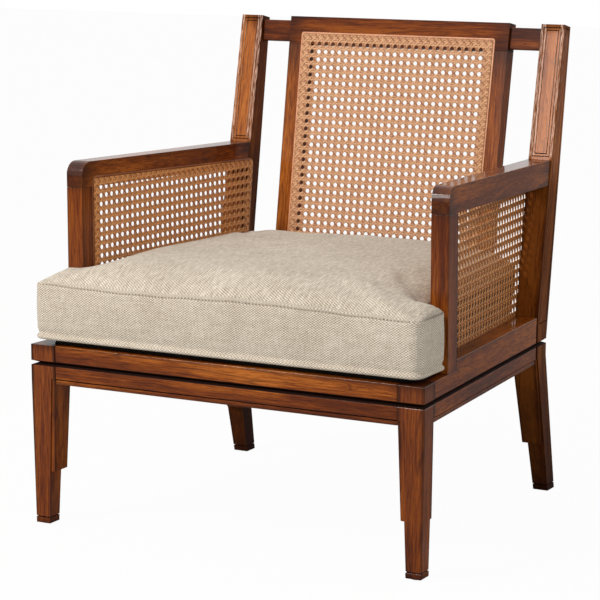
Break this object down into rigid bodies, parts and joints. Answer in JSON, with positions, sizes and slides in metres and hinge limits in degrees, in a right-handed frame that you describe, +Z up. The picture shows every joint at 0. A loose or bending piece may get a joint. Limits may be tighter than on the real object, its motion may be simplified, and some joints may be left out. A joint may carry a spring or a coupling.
{
  "type": "planters chair",
  "caption": "Low wooden armchair with caned arms, a caned raked back panel between open posts, and a loose T-shaped seat cushion that lifts off a deck.",
  "frame": {"origin": "on the floor under the middle of the chair's box", "axes": "+Z up from the floor, +Y from the front of the chair to its back, +X towards the sitter's left"},
  "size_m": [0.7, 0.6494, 0.793],
  "materials": {
    "mahogany": "satin to gloss lacquer",
    "cane": "natural woven cane",
    "reed": "natural reed",
    "linen": "plain weave linen",
    "deck_cloth": "black cloth over board",
    "beech": "unfinished",
    "steel": "zinc plated",
    "glide_nylon": "moulded"
  },
  "bodies": {
    "frame": {"front_leg_left": "mahogany", "front_leg_right": "mahogany", "back_post_left": "mahogany", "back_post_right": "mahogany", "front_seat_rail": "mahogany", "back_seat_rail": "mahogany", "side_rail_left": "mahogany", "side_rail_right": "mahogany", "front_corner_block_left": "beech", "front_corner_block_right": "beech", "back_corner_block_left": "beech", "back_corner_block_right": "beech", "front_block_screw_a_left": "steel", "front_block_screw_a_right": "steel", "front_block_screw_b_left": "steel", "front_block_screw_b_right": "steel", "back_block_screw_a_left": "steel", "back_block_screw_a_right": "steel", "back_block_screw_b_left": "steel", "back_block_screw_b_right": "steel", "side_cleat_left": "beech", "side_cleat_right": "beech", "back_cleat": "beech", "seat_deck": "deck_cloth", "front_deck_screw_left": "steel", "front_deck_screw_right": "steel", "back_deck_screw_left": "steel", "back_deck_screw_right": "steel", "front_glide_left": "glide_nylon", "front_glide_right": "glide_nylon", "back_glide_left": "glide_nylon", "back_glide_right": "glide_nylon", "arm_post_left": "mahogany", "arm_post_right": "mahogany", "arm_top_rail_left": "mahogany", "arm_top_rail_right": "mahogany", "arm_cane_left": "cane", "arm_cane_right": "cane", "arm_spline_left": "reed", "arm_spline_right": "reed", "back_stile_left": "mahogany", "back_stile_right": "mahogany", "back_top_rail": "mahogany", "back_bottom_rail": "mahogany", "back_cane": "cane", "back_spline": "reed", "back_connector_left": "mahogany", "back_connector_right": "mahogany"},
    "cushion": {"seat_cushion": "linen"}
  },
  "joints": [
    {"name": "cushion_lift", "type": "slide", "parent": "frame", "child": "cushion", "axis": [0, 0, 1], "range_m": [0, 0.3]}
  ]
}
